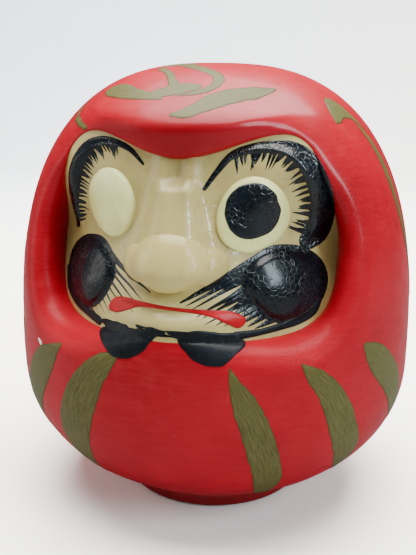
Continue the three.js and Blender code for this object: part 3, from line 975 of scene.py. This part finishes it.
def foot_disc(material):
    """The low disc under the doll, slightly drawn in towards the floor."""
    height = FOOT_TOP - FOOT_BOTTOM
    profile = spline([
        (0.62, 0.0), (0.90, 0.0), (0.955, 0.02), (0.972, 0.12), (0.982, 0.4), (0.997, 0.72),
        (0.998, 0.88), (0.985, 0.97), (0.955, 1.0), (0.62, 1.0),
    ], per_span=int(8 * FINE))
    angle = np.linspace(0.0, 2 * math.pi, int(480 * FINE), endpoint=False)
    rings = []
    for share, up in profile:
        radius = np.full_like(angle, share * FOOT_RADIUS)
        x, y = radius * np.cos(angle), radius * np.sin(angle)
        z = np.full_like(angle, FOOT_BOTTOM + min(1.0, max(0.0, up)) * height)
        wobble = 1.0 + 0.0018 * (FINE_LUMPS(x, y, z) - 1.0) * smooth_step((share - 0.8) / 0.15)
        rings.append(np.stack([x * wobble, y * wobble, z], axis=1))
    return finish_piece(add_rings("foot_painted", rings, material), "foot_red", "foot_disc")


# ---- painted strokes -------------------------------------------------------------------------------

def hairs(rng, line, focus, count, reach, half, span=(0.05, 0.95)):
    """Tapered brush hairs that leave a stroke and run towards a point."""
    samples = spline(line, per_span=20)
    found = []
    for share in np.linspace(span[0], span[1], count):
        u, v, width = samples[int(share * (len(samples) - 1))]
        heading = np.array(focus) - (u, v)
        heading = heading / np.linalg.norm(heading)
        turn = rng.normal(0.0, 0.10)
        heading = np.array([heading[0] * math.cos(turn) - heading[1] * math.sin(turn),
                            heading[0] * math.sin(turn) + heading[1] * math.cos(turn)])
        length = width + reach * rng.uniform(0.62, 1.15)
        start = np.array((u, v)) + heading * width * 0.4
        middle = np.array((u, v)) + heading * (width + (length - width) * 0.35)
        tip = np.array((u, v)) + heading * length
        thick = half * rng.uniform(0.75, 1.2)
        found.append([(*start, thick), (*middle, thick * 0.72), (*tip, 0.1)])
    return found


BROW_PAINT_LEFT = [
    (10.6, 153.0, 0.8), (14.5, 158.8, 1.1), (20, 165.2, 1.5), (27, 167.6, 1.9), (34, 168.2, 2.3),
    (41, 167.4, 2.9), (47.0, 163.2, 3.7), (51.4, 155.8, 4.1), (53.6, 147.4, 4.5), (53.2, 139.8, 4.8),
    (51.4, 133.0, 4.6), (49.0, 130.8, 4.0),
]
BROW_PAINT_RIGHT = [
    (-14.5, 161.2, 0.5), (-20.5, 166.2, 1.0), (-28, 168.7, 1.3), (-35.5, 168.8, 1.9), (-42.4, 165.2, 2.9),
    (-47.2, 157.4, 3.2), (-50.4, 148.2, 3.0), (-52.2, 139.6, 2.5), (-52.2, 131.6, 1.5),
]

WHISKER_FULLNESS = 1.4             # how much broader the strokes of the doll's left cheek are laid on
WHISKERS_LEFT = [
    [(33, 125.4, 2.4), (24, 121.6, 1.5), (14, 116.6, 0.8), (5.2, 112.2, 0.25)],
    [(31, 122, 1.6), (22, 118, 0.8), (13, 113.8, 0.4), (7.2, 110.9, 0.12)],
    [(30, 120.4, 1.5), (21, 115.6, 0.6), (14, 112, 0.3), (9, 109.2, 0.1)],
    [(31, 118, 1.5), (23.5, 113.2, 0.8), (16, 109.4, 0.4), (11, 106.4, 0.1)],
    [(31, 116, 1.4), (25, 112, 0.9), (18.5, 108.6, 0.35), (13.5, 106.2, 0.1)],
    [(32, 114.4, 1.5), (26.5, 110, 0.9), (20.5, 106.8, 0.4), (14.5, 104, 0.1)],
    [(33, 112, 1.4), (28, 108.4, 0.9), (22, 105.2, 0.4), (18.2, 103.2, 0.1)],
    [(34, 110, 1.5), (29.5, 106.6, 0.9), (24, 103.8, 0.3), (21, 102.4, 0.1)],
    [(35.4, 108, 1.5), (31, 104.8, 0.8), (26.5, 102.4, 0.25), (24, 101.4, 0.1)],
    [(37, 106, 1.7), (33, 103, 0.8), (29, 100.8, 0.15)],
    [(40, 104, 1.9), (36, 101.4, 0.9), (31.5, 99.6, 0.15)],
]
WHISKERS_RIGHT = [
    [(-34, 126.6, 2.6), (-25.5, 122.6, 1.3), (-16.5, 118.6, 0.8), (-7.4, 114.6, 0.2)],
    [(-33, 124, 1.8), (-26, 119.4, 0.8), (-17.5, 115.2, 0.45), (-10.6, 111.6, 0.12)],
    [(-33, 122, 1.8), (-27, 117.6, 0.7), (-19, 113, 0.35), (-12.6, 109.4, 0.1)],
    [(-34, 120, 1.8), (-29, 115.4, 0.8), (-21.5, 110.6, 0.4), (-14.2, 105.8, 0.1)],
    [(-35, 118, 1.8), (-31, 113.8, 0.7), (-25, 109.4, 0.3), (-19.4, 106.2, 0.1)],
    [(-37, 116, 1.9), (-33, 111.8, 0.8), (-28, 107.4, 0.35), (-22.4, 103, 0.1)],
    [(-39, 114, 1.9), (-35.4, 109.8, 0.8), (-31, 105.8, 0.3), (-26.4, 102, 0.1)],
    [(-41, 111.4, 1.9), (-38, 107.6, 0.9), (-33.6, 104, 0.3), (-30, 101.4, 0.1)],
    [(-44, 109, 2.0), (-41, 105.6, 0.9), (-37, 102.8, 0.2), (-34, 101, 0.1)],
    [(-47, 106.4, 2.0), (-42.4, 103, 1.0), (-37.6, 100.4, 0.4), (-34.4, 99.2, 0.1)],
]

CHEEK_TO_JAW = [(-50.6, 111, 5.0), (-48.6, 106.2, 4.4), (-44.8, 102.4, 3.2), (-40, 100.2, 1.4)]
CHEEK_PAINT = [(37.4, 118.6, 11.6), (41.0, 116.0, 13.4), (43.6, 113.2, 13.4), (44.2, 110.6, 11.4)]

JAW_LEFT = [(54.2, 106.5, 1.0), (51.8, 102.6, 1.9), (47, 100.2, 1.9), (41, 98.9, 1.5), (33, 98.0, 1.3),
            (25, 98.0, 1.7)]
JAW_RIGHT = [(-56, 112, 1.8), (-54, 105, 2.2), (-48.5, 100.8, 2.0), (-41, 98.8, 1.7), (-33, 97.6, 1.8)]

BEARD = [
    [(-30.6, 95.4, 0.5), (-25.2, 95.0, 3.0), (-18.8, 94.0, 5.2), (-12.8, 95.8, 4.8), (-8.0, 98.6, 3.0),
     (-3.5, 100.6, 1.4), (0, 101.2, 0.4)],
    [(-31, 98.2, 0.8), (-25, 97.8, 2.2), (-18, 98.0, 2.8)],
    [(-12, 101.6, 0.7), (-5.5, 102.2, 0.45), (1, 101.9, 0.4), (8, 101.2, 0.8)],
    [(-10, 98.6, 0.7), (-4, 99.7, 0.4), (2, 99.9, 0.4), (7, 98.8, 0.7)],
    [(1.5, 101.3, 0.4), (7, 100.2, 1.6), (13, 98.8, 3.0), (19, 97.2, 2.9), (25, 97.4, 2.0)],
    [(5, 98.4, 0.3), (9.4, 96.6, 2.6), (14.5, 94.6, 4.4), (19.8, 93.8, 4.8), (24.4, 94.8, 2.9),
     (28.4, 95.0, 0.4)],
]

MOUTH = [
    (-26.4, 104.8, 1.5), (-23.6, 106.4, 2.7), (-18.6, 108.2, 2.4), (-13, 109.5, 1.4), (-6, 110.0, 1.0),
    (2, 109.6, 0.85), (11, 108.4, 0.85), (17.6, 107.0, 1.3), (22.4, 105.2, 2.2), (25.8, 103.2, 2.4),
]

ROBE_STROKES = [
    [(-32, 88, 0.5), (-36, 83, 3.6), (-41, 76, 7), (-48, 63, 8.6), (-53, 48, 7), (-56, 36, 4)],
    [(-13.6, 89, 1.7), (-17, 85, 4.4), (-20, 80, 5.9), (-24, 70, 8.1), (-28, 56, 9), (-31, 42, 8.5),
     (-33, 28, 6), (-34, 18, 2)],
    [(16, 88, 0.4), (17, 83, 2), (19.6, 74, 4.6), (21.7, 66, 5.6), (23.9, 56, 6.1), (26.5, 43, 6.3),
     (29, 30, 6.2), (30.5, 18, 3)],
    [(34, 88, 0.4), (38, 82, 3.6), (42, 75, 5.1), (45.5, 65, 6.5), (49, 53, 6.8), (54, 39, 6.4),
     (57, 28, 2)],
    [(54, 90, 1.6), (59, 83, 5.8), (65, 74, 7), (70, 65, 7), (73, 55, 5), (75, 47, 1.5)],
    [(-60, 86, 1.6), (-64, 80, 5), (-70, 70, 6.6), (-75, 60, 6), (-78, 50, 1.6)],
]

# the fold lines of the hood: a blob near the crown on each side, with a long tail down the flank
FLANK_STROKES = [
    [(60, 176.5, 0.8), (62.5, 179.5, 3.2), (66, 181.5, 4.2), (70.5, 181, 3.6), (75, 177, 1.8),
     (78, 172.5, 0.6)],
    [(74, 174, 1.2), (76.6, 168, 2.8), (78, 160, 3.4), (78.6, 152, 3.2), (79.6, 142, 2.9), (82, 128, 2.4),
     (86, 112, 1.9), (89, 98, 0.8)],
    [(-64, 184, 0.4), (-60, 181, 0.9), (-53, 177, 1.1), (-46, 175, 1.2), (-40, 173.4, 0.8)],
    [(-74, 178, 0.8), (-79, 170, 2.2), (-81.5, 158, 2.2), (-82, 145, 1.8), (-85, 128, 1.4),
     (-88, 108, 1.0), (-90, 92, 0.5)],
]

BROW_LEAF = [(-3, 180, 0.5), (3, 181, 2.0), (9, 184, 3.0), (15, 186, 3.0), (22, 187.4, 2.6),
             (28, 188, 1.9), (32, 188.8, 0.5)]

# a generic curled flourish on the crown
CROWN_FLOURISH = [
    [(-39.5, -33, 2.0), (-36, -36.5, 3.8), (-31, -41.5, 4.2), (-25.6, -46.6, 3.4), (-18, -51.6, 2.6),
     (-10, -56, 0.7)],
    [(-19.5, -52.5, 0.8), (-13, -51.5, 3.0), (-6, -50, 4.2), (0, -48.6, 3.0), (4, -47.2, 0.8)],
    [(-6.7, -47, 2.0), (-9.8, -41, 1.8), (-13.4, -33, 1.7), (-18, -27, 1.6)],
    [(-19.4, -24.5, 1.2), (-14.5, -18.6, 2.6), (-9, -21, 3.4), (-3.6, -27, 3.0), (3, -33, 2.4),
     (8.4, -38, 2.4), (10.2, -43, 2.2), (8, -48.4, 2.0), (3.2, -52.4, 1.6), (-2.4, -54.4, 0.6)],
]

CHIP = [(-43.4, 85.4, 0.7), (-42.4, 84.4, 1.0)]


def paint_layer(name, canvas, strokes, material, slot, **options):
    return finish_piece(paint(name, canvas, strokes, material, **options), slot)


def painted_details(black, wet_black, beard_black, gold, red, gesso):
    rng = np.random.default_rng(5)
    front = Canvas(front_place)
    belt = Canvas(belt_place)
    crown = Canvas(crown_place)
    pupil = [[(28.3, 145.6, 9.6), (28.8, 143.4, 9.6)]]
    paint_layer("pupil_paint", front, pupil, wet_black, "black_ink", thickness=0.3, ragged=0.22, cell=0.35)
    left = [BROW_PAINT_LEFT] + hairs(rng, BROW_PAINT_LEFT, (26, 143), 32, 6.0, 0.85, (0.2, 0.97))
    right = [BROW_PAINT_RIGHT] + hairs(rng, BROW_PAINT_RIGHT, (-23, 142), 32, 5.4, 0.75, (0.24, 0.98))
    paint_layer("brow_left_paint", front, left, wet_black, "black_ink", cell=0.28, thickness=0.22)
    paint_layer("brow_right_paint", front, right, black, "black_ink", cell=0.28, thickness=0.22)
    for side, label in ((-1.0, "right"), (1.0, "left")):
        lobe = [[(side * u, v, half) for u, v, half in CHEEK_PAINT]]
        if side < 0:
            lobe.append(CHEEK_TO_JAW)
        paint_layer(f"cheek_{label}_paint", front, lobe, black, "black_ink", cell=0.4)
    fuller = [[(x, z, half * WHISKER_FULLNESS) for x, z, half in stroke] for stroke in WHISKERS_LEFT]
    paint_layer("whiskers_left_paint", front, fuller, black, "black_ink", cell=0.28)
    paint_layer("whiskers_right_paint", front, WHISKERS_RIGHT, black, "black_ink", cell=0.28)
    paint_layer("jaw_left_paint", front, [JAW_LEFT], beard_black, "black_ink", cell=0.35, thickness=0.4)
    paint_layer("jaw_right_paint", front, [JAW_RIGHT], beard_black, "black_ink", cell=0.35, thickness=0.4)
    paint_layer("beard_paint", front, BEARD, beard_black, "black_ink", cell=0.35, ragged=0.25,
                thickness=0.45)
    paint_layer("mouth_paint", front, [MOUTH], red, "red_lacquer", thickness=0.3, cell=0.35)
    for number, stroke in enumerate(ROBE_STROKES + FLANK_STROKES, start=1):
        paint_layer(f"gold_stroke_{number}", belt, [round_body(stroke)], gold, "gold_paint", ragged=0.3)
    paint_layer("gold_leaf_front", front, [BROW_LEAF], gold, "gold_paint", ragged=0.3)
    paint_layer("gold_flourish", crown, CROWN_FLOURISH, gold, "gold_paint", ragged=0.3)
    paint_layer("chip_in_paint", belt, [round_body(CHIP)], gesso, "plain_paper", cell=0.3, ragged=0.4)


# ---- room, light and camera ------------------------------------------------------------------------

def backdrop():
    """A floor that curves up into a wall far behind."""
    s = Shader("pale_paper_backdrop")
    # over-exposed to the camera, as a bright table is, but dim enough not to wash out the doll
    ray = s.node("ShaderNodeLightPath")
    seen = ray.outputs["Is Camera Ray"]
    paper = s.mix(s.noise(160, 3), (1.68, 1.65, 1.54), (1.84, 1.82, 1.74))
    bounce = s.mix(ray.outputs["Is Glossy Ray"], (0.52, 0.51, 0.49), (0.24, 0.24, 0.24))
    base = s.mix(seen, bounce, paper)
    matt = s.node("ShaderNodeBsdfDiffuse", {"Color": base, "Normal": s.bump(s.noise(3, 3), 0.05, 0.1)})
    place = s.node("ShaderNodeSeparateXYZ", {0: s.where})
    # painted light: seen only by the camera, the backdrop glows, brighter farther behind the doll, tinted
    # cool on the left and warm on the right
    tint = s.mix(s.ramp(place.outputs["X"], -0.5, 0.5), (0.86, 0.97, 1.1), (1.04, 1.0, 0.92))
    distant = s.math("MULTIPLY", seen, s.ramp(place.outputs["Y"], 0.1, 0.9, 0.0, 2.0))
    glow = s.node("ShaderNodeEmission", {"Color": tint, "Strength": distant})
    both = s.node("ShaderNodeAddShader", {0: matt.outputs[0], 1: glow.outputs[0]})
    s.tree.links.new(both.outputs[0], s.output.inputs["Surface"])
    half, front, back, bend = 2600.0, -1500.0, 1100.0, 700.0
    profile = [(front, 0.0), (back, 0.0)]
    for step in range(1, 25):
        turn = step / 24 * math.pi / 2
        profile.append((back + bend * math.sin(turn), bend * (1.0 - math.cos(turn))))
    profile.append((back + bend, bend + 2600.0))
    points = [(side * half, y, z) for y, z in profile for side in (-1.0, 1.0)]
    faces = [[2 * i, 2 * i + 1, 2 * i + 3, 2 * i + 2] for i in range(len(profile) - 1)]
    return add_mesh("backdrop", points, faces, s.material)


def area_light(name, place, target, size, power, tint=(1.0, 1.0, 1.0)):
    lamp = bpy.data.lights.new(name, "AREA")
    lamp.shape = "RECTANGLE"
    lamp.size, lamp.size_y = size
    lamp.energy = power
    lamp.color = tint
    light = bpy.data.objects.new(name, lamp)
    light.location = place
    light.rotation_euler = (Vector(target) - Vector(place)).to_track_quat("-Z", "Y").to_euler()
    bpy.context.collection.objects.link(light)
    return light


def room_light(colour_value, strength):
    world = bpy.data.worlds.new("soft_room")
    world.use_nodes = True
    background = world.node_tree.nodes["Background"]
    background.inputs["Color"].default_value = (*colour_value, 1.0)
    background.inputs["Strength"].default_value = strength
    bpy.context.scene.world = world


def aim_camera():
    azimuth, elevation, roll = math.radians(13.0), math.radians(15.3), math.radians(0.3)
    back = Vector((math.sin(azimuth) * math.cos(elevation), -math.cos(azimuth) * math.cos(elevation),
                   math.sin(elevation)))
    level = Vector((math.cos(azimuth), math.sin(azimuth), 0.0))
    upright = back.cross(level)
    right = level * math.cos(roll) + upright * math.sin(roll)
    up = back.cross(right)
    target = Vector((0.0, 0.0, 0.1)) - right * 0.0036 - up * 0.0007
    lens = bpy.data.cameras.new("camera")
    lens.sensor_width = 36.0
    lens.lens = 47.45
    camera = bpy.data.objects.new("camera", lens)
    camera.matrix_world = Matrix.Translation(target + back * 0.3573) @ Matrix((
        right, up, back)).transposed().to_4x4()
    bpy.context.collection.objects.link(camera)
    bpy.context.scene.camera = camera


# ---- the whole doll --------------------------------------------------------------------------------

def finish_hidden_parts():
    """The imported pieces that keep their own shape: paper and clay out of sight."""
    paper, clay = plain_paper(), dried_clay()
    for name, material in (("foot_paper", paper), ("seam_strip", paper), ("base_weight", clay)):
        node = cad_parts[name]
        node.data.materials.clear()
        node.data.materials.append(material)


def build():
    red = red_lacquer()
    cream = cream_varnish()
    white = eye_gofun()
    black = black_enamel("black_enamel", 0.8, 0.2, 0.2, 0.32)
    wet_black = black_enamel("black_glossy_enamel", 1.0, 0.2, 0.2, 0.6)
    beard_black = black_enamel("black_brushed_ink", 0.3, 0.42, 0.4, 0.08)
    shell_front(red)
    shell_back(red)
    face_panel(cream)
    nose(cream)
    for side, label in ((-1.0, "right"), (1.0, "left")):
        eye(side, label, white)
        brow(side, label, cream)
        cheek(side, label, black)
    foot_disc(foot_paint())
    finish_hidden_parts()
    painted_details(black, wet_black, beard_black, gold_paint(), mouth_red(), bare_gesso())


def light_room():
    backdrop()
    room_light((0.80, 0.92, 1.0), 0.13)
    area_light("ceiling", (0.0, 0.15, 1.05), (0.0, 0.0, 0.1), (1.1, 1.15), 50.0, (1.0, 0.99, 0.96))
    area_light("bench", (-0.95, -0.25, 0.35), (0.0, 0.0, 0.08), (0.5, 0.8), 3.0, (1.0, 0.97, 0.93))
    area_light("window", (1.02, -0.50, 0.70), (0.02, -0.04, 0.12), (0.26, 0.62), 10.0, (0.78, 0.93, 1.0))


build()
light_room()
aim_camera()
